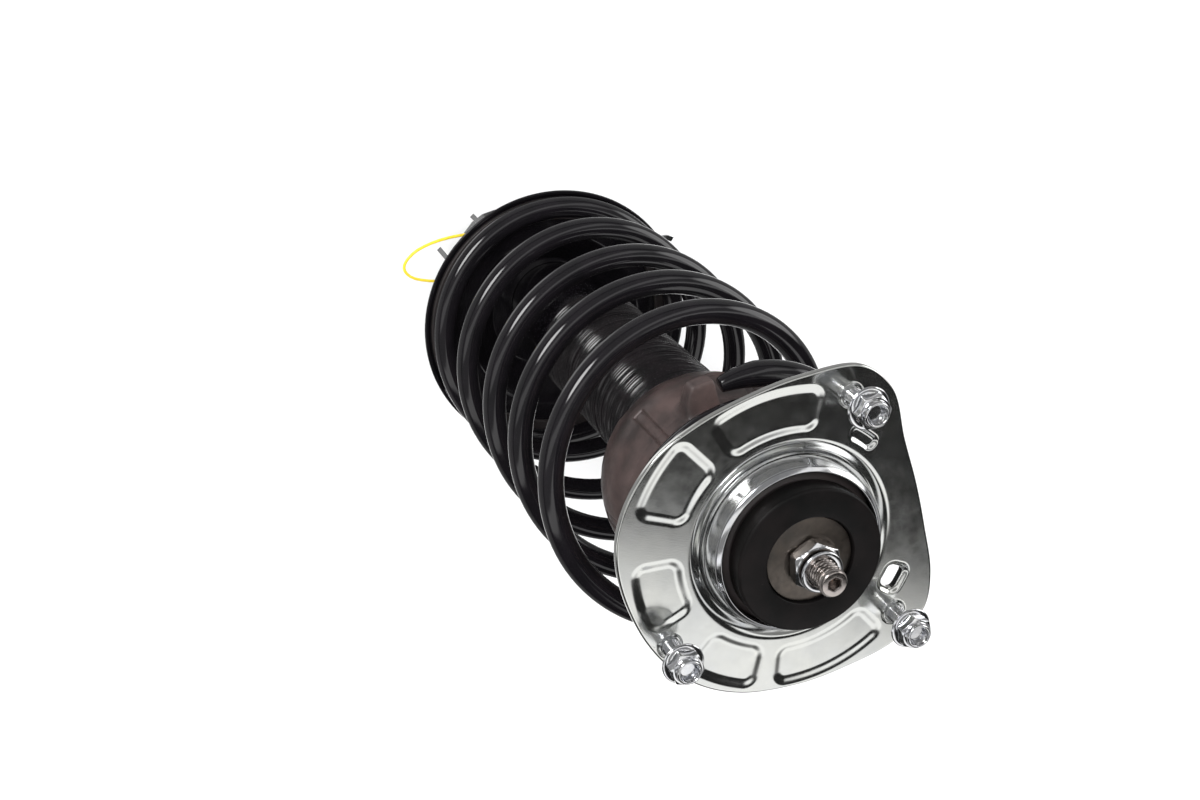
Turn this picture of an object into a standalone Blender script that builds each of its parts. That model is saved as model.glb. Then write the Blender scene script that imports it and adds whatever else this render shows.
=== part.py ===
"""MacPherson strut assembly: coil spring over damper with its top mount.

Units are metres and +Z points up the damper rod. The origin is the centre of the mount
plate's upper face, the face that bolts against the car's body, so the strut hangs below
z = 0 and only the rubber bush, the rod end and the studs stand above it.
The spring sits beside the rod axis by SPRING_OFFSET, as it does on a strut whose spring
is placed to balance side load.
"""
import math

import bmesh
import bpy
from mathutils import Matrix, Vector

MM = 0.001
GAP = 0.3                                   # clearance kept between neighbouring pieces, mm

# ---- driving dimensions, millimetres and degrees ----
SPRING_OFFSET = (-6.2, 2.1)                 # spring axis, seen from the rod axis
SPRING_SIDE = 62.5                          # side of the strut where whole turns are counted
SIDE_STEP = 90.0                            # quarter turn between the a side and the b side

PLATE_THICKNESS = 3.0
PLATE_OUTLINE = [                           # direction in degrees, distance from the rod axis
    (1, 78.0), (-14, 74.0), (-31, 62.5), (-52, 59.0), (-72, 62.0), (-90, 71.5),
    (-103, 78.0), (-117, 76.5), (-133, 71.5), (-153, 69.5), (-176, 71.0), (163, 72.0),
    (140, 72.0), (115, 74.5), (96, 76.5), (76, 75.0), (58, 71.0), (38, 69.0), (20, 71.5)]
PLATE_HOLE_R = 39.2
STUD_CIRCLE_R = 65.0
STUD_ANGLES = (0.0, -109.0, 147.5)
POCKET_DEPTH = 1.4
POCKET_CORNER_R = 4.5
POCKETS = [                                 # inner radius, outer radius, first and last angle
    (49.0, 66.0, 11.5, 54.0), (49.5, 70.0, 65.0, 93.0), (49.0, 67.5, 112.5, 139.0),
    (49.0, 66.5, 160.0, 188.0), (50.0, 66.0, 197.5, 243.0)]
BEAN_POCKET = (48.5, 54.0, -22.0, -8.0)
LIGHTENING_HOLE = (50.5, 58.5, -102.0, -91.0)

SHELL_R = 38.8                              # pressed cup around the rubber bush
DISC_R = 31.3                               # rebound disc on top of the bush
DISC_TOP = 18.4
RECESS_R = 18.9
SLEEVE_BOTTOM = -22.0

ROD_R = 10.0
ROD_SHANK_R = 6.0                           # M12 end
ROD_TOP = 38.9
ROD_SOCKET_R = 2.9                          # corners of the hexagon socket in its end
ROD_SOCKET_DEPTH = 8.0
ROD_SHOULDER = -24.7
ROD_END = -294.0
SLEEVE_BORE_R = ROD_SHANK_R + 0.4
ROD_NUT_BASE = 18.2
ROD_NUT = (19.0, 9.4, 9.0, 0.4, 6.6, 10.6)  # across flats, flange and collar radii, then the
                                            # heights of flange, hexagon and collar
STUD_SHANK_R = 3.85                         # M8
STUD_TOP = 19.4
STUD_NUT_BASE = 14.0
STUD_NUT = (13.0, 8.9, 5.4, 1.0, 6.0, 8.3)
HEX_TURNS = (25.0, 56.0, 31.0, 43.0)        # direction of a corner: rod nut, then stud nuts

BALL_PITCH_R = 36.0
BALL_R = 2.9
BALL_LEVEL = -32.6
BALL_COUNT = 12
RACE_GAP = 0.4

PAN_R = 60.0                                # upper spring seat, set off from the spring's axis
PAN_OFFSET = (-11.7, -7.4)
SEAT_TOP = -42.4
PAN_BOTTOM = -46.4
DOME_R = 49.3                               # rubber dome inside the spring's last upper turns
DOME_LEVEL = -75.0
DOME_END = -109.0

BOOT_TOP = -109.4
BOOT_END = -252.0
BOOT_FOLDS = 9
BOOT_CREST_R = 31.0
BOOT_VALLEY_R = 28.6
BOOT_WALL = 1.2

WIRE_R = 5.9                                # coil spring wire
COIL_R = 71.0
END_COIL_R = 64.0                           # the last upper turn draws in
COIL_LEVELS = [                             # turn count at SPRING_SIDE, height of the wire centre
    (-1.80, -305.0), (-1.05, -305.0), (0.0, -249.0), (1.0, -192.7), (2.0, -145.5),
    (3.0, -97.5), (3.64, -55.9), (3.90, -55.9)]
TAIL_START = 3.74                           # turn at which the wire's upper end curls inward
TAIL_DRAW = 10.0
TAPER_START = 3.855                         # turn at which the wire's upper end thins
TAPER = 0.4
COIL_SMOOTHING = 0.09                       # turns over which a change of pitch is eased
COIL_STEPS = 24                             # wire segments in one turn

TUBE_R = 25.0
TUBE_BORE_R = 22.4
TUBE_TOP = -232.4
TUBE_END = -446.0
CYLINDER_R = 16.0                           # inner pressure tube bore

DISH_LEVEL = -314.5                         # lower spring seat's floor
DISH_RIM_R = 78.6
DISH_THICKNESS = 2.6

CLEVIS_ANGLE = SPRING_SIDE + 180.0          # knuckle bracket points away from SPRING_SIDE
CLEVIS_HALF_GAP = 15.5
CLEVIS_REACH = 66.0
CLEVIS_TOP = -378.0
CLEVIS_END = -455.0
CLEVIS_BOLT_REACH = 52.0
CLEVIS_BOLT_LEVELS = (-391.0, -443.0)
CLEVIS_BOLT_R = 6.2
SHEET = 3.0                                 # thickness of the welded brackets

LINK_TOP = -350.0                           # anti-roll bar link bracket
LINK_END = -376.0
LINK_REACH = 60.0
LINK_SIDES = (-4.2, 27.2)                   # its outer faces, measured along the b side
LINK_HOLE = (46.0, -363.0)
LINK_HOLE_R = 5.2

HOSE_ANGLE = -53.0                          # brake hose bracket
HOSE_LEVEL = -346.5
HOSE_REACH = 81.0
HOSE_EYE_R = 8.6
HOSE_SLOT_R = 5.6
HOSE_ARM_HALF = 7.0
HOSE_SHEET = 2.5

TIE_R = 0.9                                 # yellow seal tie through the link bracket's hole
TIE_ROUTE = [                               # a side, b side, height
    (45.6, 26.0, -364.0), (43.8, 33.5, -365.0), (49.6, 40.4, -366.0), (60.6, 48.4, -366.0),
    (68.4, 49.4, -366.0), (72.2, 45.0, -366.0), (72.2, 35.0, -366.0), (66.7, 21.4, -366.0),
    (57.2, 7.6, -366.0), (50.6, 3.8, -366.0), (45.8, 7.0, -365.0), (45.0, 16.0, -364.0)]
TIE_SAMPLES = 3                             # points between two of the route's points

FINE = 40                                   # segments around a large turned piece
COARSE = 20                                 # segments around a small or hidden one

# ---- colours: base colour, metallic, roughness ----
FINISHES = {
    "zinc_plate": ((0.62, 0.63, 0.61), 1.0, 0.28),
    "bright_zinc": ((0.72, 0.72, 0.70), 1.0, 0.20),
    "satin_black": ((0.012, 0.012, 0.012), 0.0, 0.38),
    "dark_washer": ((0.10, 0.085, 0.07), 1.0, 0.40),
    "rod_steel": ((0.55, 0.54, 0.52), 1.0, 0.18),
    "rubber": ((0.028, 0.024, 0.023), 0.0, 0.55),
    "gloss_black": ((0.006, 0.006, 0.007), 0.0, 0.08),
    "boot_black": ((0.010, 0.010, 0.010), 0.0, 0.45),
    "bump_foam": ((0.60, 0.52, 0.36), 0.0, 0.80),
    "black_plastic": ((0.020, 0.020, 0.021), 0.0, 0.42),
    "ball_steel": ((0.60, 0.60, 0.61), 1.0, 0.12),
    "sintered": ((0.30, 0.29, 0.28), 1.0, 0.50),
    "ptfe": ((0.08, 0.07, 0.05), 0.0, 0.50),
    "yellow_tie": ((0.90, 0.68, 0.05), 0.0, 0.35),
}


# ---- scene helpers ----
def clear_scene():
    for item in list(bpy.data.objects):
        bpy.data.objects.remove(item, do_unlink=True)


def new_collection(name):
    group = bpy.data.collections.new(name)
    bpy.context.scene.collection.children.link(group)
    return group


def make_material(name):
    colour, metallic, roughness = FINISHES[name]
    material = bpy.data.materials.new(name)
    material.use_nodes = True
    shader = material.node_tree.nodes["Principled BSDF"]
    shader.inputs["Base Color"].default_value = (*colour, 1.0)
    shader.inputs["Metallic"].default_value = metallic
    shader.inputs["Roughness"].default_value = roughness
    material.diffuse_color = (*colour, 1.0)
    return material


def finish_object(name, data, body, material):
    """Put a mesh or curve in the part's collection, under its body's empty."""
    item = bpy.data.objects.new(name, data)
    PART.objects.link(item)
    item.parent = BODIES[body]
    if material not in MATERIALS:
        MATERIALS[material] = make_material(material)
    data.materials.append(MATERIALS[material])
    return item


def polar(radius, angle):
    turn = math.radians(angle)
    return Vector((radius * math.cos(turn), radius * math.sin(turn)))


def side_point(along_a, along_b):
    """A point given by its distances toward SPRING_SIDE (a) and a quarter turn on (b)."""
    return polar(along_a, SPRING_SIDE) + polar(along_b, SPRING_SIDE + SIDE_STEP)


# ---- turned pieces ----
def turned_mesh(name, profile):
    """Screw a profile of (radius, height) that runs down its outer side."""
    mesh = bpy.data.meshes.new(name)
    points = [(radius * MM, 0.0, height * MM) for radius, height in profile]
    closed = min(radius for radius, _ in profile) > 0.0
    edges = [(i, i + 1) for i in range(len(points) - 1)]
    if closed:
        edges.append((len(points) - 1, 0))
    mesh.from_pydata(points, edges, [])
    return mesh


def add_screw(item, steps):
    screw = item.modifiers.new("turn", "SCREW")
    screw.steps = steps
    screw.render_steps = steps
    screw.use_merge_vertices = True
    screw.merge_threshold = 0.00001
    screw.use_smooth_shade = True
    return screw


def turned(name, body, material, profile, steps=FINE, centre=(0.0, 0.0)):
    item = finish_object(name, turned_mesh(name, profile), body, material)
    item.location = (centre[0] * MM, centre[1] * MM, 0.0)
    add_screw(item, steps)
    return item


def ring(inner, outer, top, bottom):
    """Profile of a plain ring."""
    return [(inner, top), (outer, top), (outer, bottom), (inner, bottom)]


# ---- cutters and joined shapes ----
def hide_tool(item):
    item.hide_render = True
    item.display_type = "WIRE"
    return item


def tool_object(name, mesh):
    item = bpy.data.objects.new(name, mesh)
    CUTTERS.objects.link(item)
    return hide_tool(item)


def tool_turned(name, profile, steps=COARSE, centre=(0.0, 0.0)):
    item = tool_object(name, turned_mesh(name, profile))
    item.location = (centre[0] * MM, centre[1] * MM, 0.0)
    add_screw(item, steps)
    return item


def tool_rod(name, radius, start, end, sides=COARSE):
    """A cylinder between two points in millimetres."""
    start = Vector(start)
    end = Vector(end)
    along = end - start
    mesh = bpy.data.meshes.new(name)
    shape = bmesh.new()
    bmesh.ops.create_cone(shape, cap_ends=True, segments=sides, radius1=radius * MM,
                          radius2=radius * MM, depth=along.length * MM)
    shape.to_mesh(mesh)
    shape.free()
    item = tool_object(name, mesh)
    turn = along.to_track_quat("Z", "Y").to_matrix().to_4x4()
    item.matrix_world = Matrix.Translation((start + end) * 0.5 * MM) @ turn
    return item


def combine(item, tool, operation):
    join = item.modifiers.new(operation.lower(), "BOOLEAN")
    join.operation = operation
    join.solver = "EXACT"
    join.object = tool
    return item


# ---- flat pieces ----
def rounded(corners, segments=4):
    """Round a polygon's corners: each is (point, radius) and a radius of 0 stays sharp."""
    outline = []
    count = len(corners)
    for i, (point, radius) in enumerate(corners):
        if radius <= 0.0:
            outline.append(point)
            continue
        before = (corners[i - 1][0] - point).normalized()
        after = (corners[(i + 1) % count][0] - point).normalized()
        half = math.acos(max(-1.0, min(1.0, before.dot(after)))) / 2.0
        reach = radius / math.tan(half)
        centre = point + (before + after).normalized() * radius / math.sin(half)
        first = point + before * reach - centre
        last = point + after * reach - centre
        for step in range(segments + 1):
            blend = first.lerp(last, step / segments)
            outline.append(centre + blend.normalized() * radius)
    return outline


def sector(inner, outer, first, last, corner, arc_steps=5):
    """Outline of a ring sector with rounded corners, counter-clockwise."""
    corners = []
    for step in range(arc_steps + 1):
        angle = first + (last - first) * step / arc_steps
        at_end = step in (0, arc_steps)
        corners.append((polar(outer, angle), corner if at_end else 0.0))
    for step in range(arc_steps + 1):
        angle = last + (first - last) * step / arc_steps
        at_end = step in (0, arc_steps)
        corners.append((polar(inner, angle), corner if at_end else 0.0))
    return rounded(corners)


def circle(radius, centre=Vector((0.0, 0.0)), sides=COARSE):
    return [centre + polar(radius, 360.0 * i / sides) for i in range(sides)]


def smooth_loop(points, samples):
    """Closed Catmull-Rom curve through points."""
    count = len(points)
    loop = []
    for i in range(count):
        p0, p1, p2, p3 = (points[(i + k - 1) % count] for k in range(4))
        for step in range(samples):
            t = step / samples
            loop.append(0.5 * (2.0 * p1 + (p2 - p0) * t
                               + (2.0 * p0 - 5.0 * p1 + 4.0 * p2 - p3) * t ** 2
                               + (3.0 * p1 - p0 - 3.0 * p2 + p3) * t ** 3))
    return loop


def flat_mesh(name, outlines, thickness):
    """Extrude outlines (the first is the edge, the others are holes) about z = 0."""
    curve = bpy.data.curves.new(name, "CURVE")
    curve.dimensions = "2D"
    curve.fill_mode = "BOTH"
    curve.extrude = thickness * MM / 2.0
    for outline in outlines:
        spline = curve.splines.new("POLY")
        spline.points.add(len(outline) - 1)
        for knot, point in zip(spline.points, outline):
            knot.co = (point.x * MM, point.y * MM, 0.0, 1.0)
        spline.use_cyclic_u = True
    helper = bpy.data.objects.new(name, curve)
    CUTTERS.objects.link(helper)
    graph = bpy.context.evaluated_depsgraph_get()
    mesh = bpy.data.meshes.new_from_object(helper.evaluated_get(graph))
    bpy.data.objects.remove(helper, do_unlink=True)
    shape = bmesh.new()
    shape.from_mesh(mesh)
    bmesh.ops.remove_doubles(shape, verts=shape.verts, dist=0.000001)
    bmesh.ops.recalc_face_normals(shape, faces=shape.faces)
    shape.to_mesh(mesh)
    shape.free()
    mesh.name = name
    return mesh


def flat_piece(name, body, material, outlines, top, bottom, angle=0.0):
    item = finish_object(name, flat_mesh(name, outlines, top - bottom), body, material)
    item.location.z = (top + bottom) / 2.0 * MM
    item.rotation_euler.z = math.radians(angle)
    return item


def flat_tool(name, outline, top, bottom):
    item = tool_object(name, flat_mesh(name, [outline], top - bottom))
    item.location.z = (top + bottom) / 2.0 * MM
    return item


# ---- fasteners ----
def hexagon_mesh(name, corner_r, bottom, top):
    """Hexagonal bar standing on the z axis, with a corner toward +X."""
    mesh = bpy.data.meshes.new(name)
    shape = bmesh.new()
    bmesh.ops.create_cone(shape, cap_ends=True, segments=6, radius1=corner_r * MM,
                          radius2=corner_r * MM, depth=(top - bottom) * MM)
    bmesh.ops.rotate(shape, verts=shape.verts, matrix=Matrix.Rotation(math.radians(30.0), 3, "Z"))
    bmesh.ops.translate(shape, verts=shape.verts, vec=(0.0, 0.0, (bottom + top) / 2.0 * MM))
    shape.to_mesh(mesh)
    shape.free()
    return mesh


def flanged_nut(name, body, centre, base, shape_of_nut, bore, turn):
    """Hexagon nut with a flange under it and a round locking collar on top."""
    across_flats, flange_r, collar_r, flange_h, hexagon_h, total_h = shape_of_nut
    flange = base + flange_h
    hexagon_top = base + hexagon_h
    top = base + total_h
    blank = hexagon_mesh(name, across_flats / math.sqrt(3.0), base + 0.3, hexagon_top)
    item = finish_object(name, blank, body, "bright_zinc")
    item.location = (centre[0] * MM, centre[1] * MM, 0.0)
    item.rotation_euler.z = math.radians(turn)
    spindle = [(0.0, top), (collar_r - 0.6, top), (collar_r, top - 0.6),
               (collar_r, flange + 1.0), (flange_r - 0.8, flange + 0.2),
               (flange_r, flange - 0.2), (flange_r, base), (0.0, base)]
    combine(item, tool_turned(name + "_spindle", spindle, 18, centre), "UNION")
    drill = tool_rod(name + "_drill", bore, (*centre, base - 2.0), (*centre, top + 2.0), 16)
    return combine(item, drill, "DIFFERENCE")


# ---- top mount: stays on the car's body ----
def build_mount_plate():
    outline = smooth_loop([polar(radius, angle) for angle, radius in PLATE_OUTLINE], 4)
    holes = [circle(PLATE_HOLE_R, sides=FINE)]
    for angle in STUD_ANGLES:
        holes.append(circle(STUD_SHANK_R + GAP, polar(STUD_CIRCLE_R, angle), 16))
    inner, outer, first, last = LIGHTENING_HOLE
    holes.append(sector(inner, outer, first, last, 2.4, 2))
    plate = flat_piece("mount_plate", "top_mount", "zinc_plate", [outline] + holes,
                       0.0, -PLATE_THICKNESS)
    for i, (inner, outer, first, last) in enumerate(POCKETS):
        pocket = sector(inner, outer, first, last, POCKET_CORNER_R)
        combine(plate, flat_tool(f"pocket_{i}", pocket, 2.0, -POCKET_DEPTH), "DIFFERENCE")
    inner, outer, first, last = BEAN_POCKET
    bean = sector(inner, outer, first, last, 2.2, 2)
    combine(plate, flat_tool("bean_pocket", bean, 2.0, -POCKET_DEPTH), "DIFFERENCE")
    return plate


def build_bush():
    turned("bush_shell", "top_mount", "bright_zinc", [
        (34.0, 9.6), (35.8, 9.2), (37.6, 6.4), (38.6, 2.4), (SHELL_R, -1.0), (SHELL_R, -21.6),
        (36.8, -21.6), (36.8, -1.0), (36.6, 1.8), (35.6, 5.4), (34.0, 7.8)])
    turned("rubber_bush", "top_mount", "rubber", [
        (12.4, 6.0), (30.0, 6.0), (34.2, 3.2), (36.1, -0.6), (36.4, -4.0), (36.4, -19.0),
        (30.0, -21.4), (12.4, -21.4)], 36)
    turned("inner_sleeve", "top_mount", "rod_steel",
           ring(SLEEVE_BORE_R, 12.0, 8.0, SLEEVE_BOTTOM), COARSE)
    turned("rebound_disc", "top_mount", "satin_black", [
        (SLEEVE_BORE_R, 14.8), (RECESS_R, 14.8), (RECESS_R, DISC_TOP),
        (DISC_R - 0.9, DISC_TOP), (DISC_R, DISC_TOP - 0.9), (DISC_R, 9.2),
        (DISC_R - 0.9, 8.3), (SLEEVE_BORE_R, 8.3)])
    turned("dished_washer", "top_mount", "dark_washer", [
        (SLEEVE_BORE_R, 17.9), (11.5, 17.9), (RECESS_R - GAP, 16.7), (RECESS_R - GAP, 15.1),
        (SLEEVE_BORE_R, 15.1)], 36)
    flanged_nut("rod_nut", "top_mount", (0.0, 0.0), ROD_NUT_BASE, ROD_NUT, SLEEVE_BORE_R,
                HEX_TURNS[0])


def build_studs():
    for i, angle in enumerate(STUD_ANGLES, start=1):
        centre = polar(STUD_CIRCLE_R, angle)
        head = -PLATE_THICKNESS - GAP
        turned(f"stud_{i}", "top_mount", "bright_zinc", [
            (0.0, STUD_TOP), (STUD_SHANK_R - 0.7, STUD_TOP), (STUD_SHANK_R, STUD_TOP - 0.7),
            (STUD_SHANK_R, head), (6.4, head), (6.4, head - 2.6), (0.0, head - 2.6)],
               16, centre)
        flanged_nut(f"stud_nut_{i}", "top_mount", centre, STUD_NUT_BASE, STUD_NUT,
                    STUD_SHANK_R + GAP, HEX_TURNS[i])


def build_rod():
    rod = turned("piston_rod", "top_mount", "rod_steel", [
        (0.0, ROD_TOP), (ROD_SHANK_R - 0.9, ROD_TOP), (ROD_SHANK_R, ROD_TOP - 0.9),
        (ROD_SHANK_R, ROD_SHOULDER), (ROD_R, ROD_SHOULDER), (ROD_R, -266.0), (6.0, -266.0),
        (6.0, ROD_END), (0.0, ROD_END)], COARSE)
    socket = tool_rod("rod_socket", ROD_SOCKET_R, (0.0, 0.0, ROD_TOP - ROD_SOCKET_DEPTH),
                      (0.0, 0.0, ROD_TOP + 3.0), 6)
    combine(rod, socket, "DIFFERENCE")
    turned("rebound_stop_ring", "top_mount", "black_plastic",
           ring(ROD_R + GAP, 14.5, -255.5, -260.0), COARSE)
    turned("rebound_valve_disc", "top_mount", "rod_steel",
           ring(6.3, 13.0, -266.3, -267.3), COARSE)
    turned("piston", "top_mount", "sintered", [
        (6.3, -267.6), (15.2, -267.6), (15.2, -270.0), (14.0, -270.0), (14.0, -278.0),
        (15.2, -278.0), (15.2, -281.0), (6.3, -281.0)], COARSE)
    turned("piston_ring", "top_mount", "ptfe", ring(14.3, 15.7, -270.3, -277.7), COARSE)
    turned("compression_valve_disc", "top_mount", "rod_steel",
           ring(6.3, 13.0, -281.3, -282.3), COARSE)
    item = finish_object("piston_nut", hexagon_mesh("piston_nut", 9.8, -291.0, -282.6),
                         "top_mount", "rod_steel")
    drill = tool_rod("piston_nut_drill", 6.3, (0.0, 0.0, -280.0), (0.0, 0.0, -293.0))
    combine(item, drill, "DIFFERENCE")


def build_bump_stop():
    turned("bump_stop_cup", "top_mount", "gloss_black", [
        (SLEEVE_BORE_R, -22.4), (21.0, -22.4), (21.8, -23.4), (21.8, -40.0), (20.4, -40.0),
        (20.4, -24.4), (SLEEVE_BORE_R, -24.4)], COARSE)
    turned("bump_stop", "top_mount", "bump_foam", [
        (10.4, -25.2), (19.9, -25.2), (19.9, -46.0), (17.0, -50.0), (19.0, -58.0),
        (16.3, -64.0), (18.4, -72.0), (15.8, -78.0), (17.6, -86.0), (15.2, -92.0),
        (16.8, -99.0), (15.0, -105.5), (13.4, -109.4), (10.4, -109.4)], 16)


# ---- strut bearing ----
def build_bearing():
    turned("bearing_upper_race", "top_mount", "black_plastic", [
        (28.0, -22.4), (44.0, -22.4), (45.5, -24.0), (45.5, -33.5), (43.4, -33.5),
        (43.4, -29.3), (28.0, -29.3)], 36)
    turned("bearing_lower_race", "upper_seat", "black_plastic", [
        (28.0, -35.9), (41.4, -35.9), (42.4, -36.9), (42.4, -42.1), (28.0, -42.1)], 36)
    cage = turned("ball_cage", "bearing_balls", "ball_steel",
                  ring(BALL_PITCH_R - 1.6, BALL_PITCH_R + 1.6, BALL_LEVEL + 0.9,
                       BALL_LEVEL - 0.9), 32)
    mesh = bpy.data.meshes.new("ball")
    shape = bmesh.new()
    bmesh.ops.create_uvsphere(shape, u_segments=6, v_segments=4, radius=BALL_R * MM)
    shape.to_mesh(mesh)
    shape.free()
    for i in range(BALL_COUNT):
        ball = tool_object(f"ball_{i}", mesh)
        spot = polar(BALL_PITCH_R, 360.0 * i / BALL_COUNT)
        ball.location = (spot.x * MM, spot.y * MM, BALL_LEVEL * MM)
        combine(cage, ball, "UNION")


# ---- upper spring seat: turns with the steering ----
def build_upper_seat():
    seat = turned("upper_spring_seat", "upper_seat", "gloss_black", [
        (0.0, SEAT_TOP), (57.5, SEAT_TOP), (PAN_R, -44.0), (PAN_R, PAN_BOTTOM),
        (58.0, PAN_BOTTOM), (56.5, -44.8), (0.0, -44.8)], 36, PAN_OFFSET)
    combine(seat, tool_turned("seat_bore", [(0.0, -35.0), (23.5, -35.0), (23.5, -55.0),
                                            (0.0, -55.0)]), "DIFFERENCE")
    dome = []
    for step in range(6):
        height = DOME_LEVEL + 17.0 + (DOME_END + 1.5 - DOME_LEVEL - 17.0) * step / 5.0
        radius = math.sqrt(DOME_R ** 2 - (height - DOME_LEVEL) ** 2)
        dome.append((radius, height))
    rubber = turned("upper_rubber_seat", "upper_seat", "rubber", [
        (30.0, -45.5), (44.0, -45.5), (46.4, -46.9)] + dome + [
        (34.4, DOME_END), (27.4, DOME_END), (27.4, -104.5), (30.0, -102.0)],
                    32, SPRING_OFFSET)
    flange = tool_turned("seat_flange", [
        (39.0, -45.1), (55.8, -45.1), (56.6, -46.7), (58.6, -46.7), (58.6, -49.6),
        (39.0, -49.6)], 36, PAN_OFFSET)
    combine(rubber, flange, "UNION")
    end_stop = flat_tool("coil_end_stop", sector(40.0, 59.0, 28.5, 42.0, 3.0, 2),
                         -50.5, -62.5)
    end_stop.location.x = SPRING_OFFSET[0] * MM
    end_stop.location.y = SPRING_OFFSET[1] * MM
    combine(rubber, end_stop, "UNION")


def build_boot():
    """Bellows: crests and valleys down the outside, back up along the inside."""
    outside = [(26.4 + GAP, BOOT_TOP), (34.0, BOOT_TOP), (34.6, BOOT_TOP - 1.2),
               (33.8, BOOT_TOP - 2.6), (BOOT_VALLEY_R, BOOT_TOP - 3.4)]
    first = BOOT_TOP - 3.4
    fold = (BOOT_END - first) / BOOT_FOLDS
    inside = []
    for i in range(BOOT_FOLDS):
        crest = first + fold * (i + 0.5)
        valley = first + fold * (i + 1.0)
        outside += [(BOOT_CREST_R, crest), (BOOT_VALLEY_R, valley)]
        inside += [(BOOT_CREST_R - BOOT_WALL, crest), (BOOT_VALLEY_R - BOOT_WALL, valley)]
    top_inside = [(BOOT_VALLEY_R - BOOT_WALL, first)]
    turned("dust_boot", "upper_seat", "boot_black", outside + inside[::-1] + top_inside, COARSE)


# ---- coil spring ----
def coil_height(turns):
    """Height of the wire's centre, eased where the pitch changes."""
    total = 0.0
    samples = 7
    for k in range(samples):
        spot = turns + COIL_SMOOTHING * (2.0 * k / (samples - 1) - 1.0)
        spot = max(COIL_LEVELS[0][0], min(COIL_LEVELS[-1][0], spot))
        for (low, low_z), (high, high_z) in zip(COIL_LEVELS, COIL_LEVELS[1:]):
            if spot <= high:
                total += low_z + (high_z - low_z) * (spot - low) / (high - low)
                break
    return total / samples


def coil_radius(turns):
    blend = max(0.0, min(1.0, (turns - 3.2) / 0.55))
    blend = blend * blend * (3.0 - 2.0 * blend)
    tail = max(0.0, turns - TAIL_START) / (COIL_LEVELS[-1][0] - TAIL_START)
    return COIL_R + (END_COIL_R - COIL_R) * blend - TAIL_DRAW * tail ** 1.5


def wire_share(turns):
    """Thickness of the wire as a share of its full thickness."""
    blend = max(0.0, turns - TAPER_START) / (COIL_LEVELS[-1][0] - TAPER_START)
    return 1.0 - TAPER * blend


def wire_curve(name, points, radius, cyclic=False):
    curve = bpy.data.curves.new(name, "CURVE")
    curve.dimensions = "3D"
    curve.bevel_depth = radius * MM
    curve.bevel_resolution = 2
    curve.use_fill_caps = not cyclic
    spline = curve.splines.new("POLY")
    spline.points.add(len(points) - 1)
    for knot, point in zip(spline.points, points):
        knot.co = (point[0] * MM, point[1] * MM, point[2] * MM, 1.0)
        knot.radius = point[3] if len(point) > 3 else 1.0
    spline.use_cyclic_u = cyclic
    return curve


def build_spring():
    first = COIL_LEVELS[0][0]
    last = COIL_LEVELS[-1][0]
    count = round((last - first) * COIL_STEPS)
    route = []
    for i in range(count + 1):
        turns = first + (last - first) * i / count
        flat = polar(coil_radius(turns), SPRING_SIDE + 360.0 * turns) + Vector(SPRING_OFFSET)
        route.append((flat.x, flat.y, coil_height(turns), wire_share(turns)))
    finish_object("coil_spring", wire_curve("coil_spring", route, WIRE_R), "strut_tube",
                  "gloss_black")


# ---- damper tube: slides up toward the mount ----
def build_damper():
    turned("outer_tube", "strut_tube", "gloss_black",
           ring(TUBE_BORE_R, TUBE_R, TUBE_TOP, TUBE_END), 36)
    turned("striker_cap", "strut_tube", "sintered", [
        (10.8, -229.0), (25.2, -229.0), (26.6, -230.4), (26.6, -243.0),
        (TUBE_R + GAP, -243.0), (TUBE_R + GAP, -232.0), (10.8, -232.0)], 36)
    turned("oil_seal", "strut_tube", "rubber", ring(ROD_R + 0.35, 22.0, -233.0, -239.0), COARSE)
    turned("rod_guide", "strut_tube", "sintered", [
        (12.0, -239.4), (22.0, -239.4), (22.0, -250.0), (18.5, -250.0), (18.5, -255.0),
        (12.0, -255.0)], COARSE)
    turned("guide_bush", "strut_tube", "ptfe", ring(ROD_R + 0.35, 11.7, -240.0, -254.5), COARSE)
    turned("pressure_tube", "strut_tube", "rod_steel",
           ring(CYLINDER_R, CYLINDER_R + 1.5, -255.4, -428.0), COARSE)
    turned("base_valve_disc", "strut_tube", "rod_steel", [
        (0.0, -418.6), (11.0, -418.6), (11.0, -419.6), (0.0, -419.6)], COARSE)
    turned("base_valve_body", "strut_tube", "sintered", [
        (0.0, -420.0), (CYLINDER_R - GAP, -420.0), (CYLINDER_R - GAP, -428.4), (21.9, -428.4),
        (21.9, -438.0), (0.0, -438.0)], COARSE)
    turned("bottom_cap", "strut_tube", "gloss_black", [
        (0.0, TUBE_END - GAP), (24.4, TUBE_END - GAP), (TUBE_R, -447.0), (23.4, -450.6),
        (17.0, -452.6), (0.0, -453.0)], 36)


def build_lower_seat():
    floor = DISH_LEVEL
    under = DISH_LEVEL - DISH_THICKNESS
    dish = turned("lower_spring_seat", "strut_tube", "gloss_black", [
        (0.0, floor - 19.5), (33.0, floor - 19.5), (52.0, floor), (75.6, floor),
        (76.4, floor + 2.4), (DISH_RIM_R, floor + 3.1), (DISH_RIM_R + 0.3, floor + 1.9),
        (77.9, floor - 0.4), (76.6, under), (51.2, under), (32.2, under - 19.5),
        (0.0, under - 19.5)], FINE, SPRING_OFFSET)
    bore = TUBE_R + GAP
    combine(dish, tool_turned("dish_bore", [(0.0, -300.0), (bore, -300.0), (bore, -350.0),
                                            (0.0, -350.0)], 36), "DIFFERENCE")
    turned("seat_weld_collar", "strut_tube", "gloss_black", [
        (bore, -337.0), (30.0, -337.0), (28.4, -346.0), (bore, -346.0)], 36)
    turned("lower_rubber_pad", "strut_tube", "rubber",
           ring(62.0, 75.0, -311.2, floor + GAP), FINE, SPRING_OFFSET)


def arc(radius, first, last, steps, centre=Vector((0.0, 0.0))):
    return [centre + polar(radius, first + (last - first) * i / steps)
            for i in range(steps + 1)]


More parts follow.
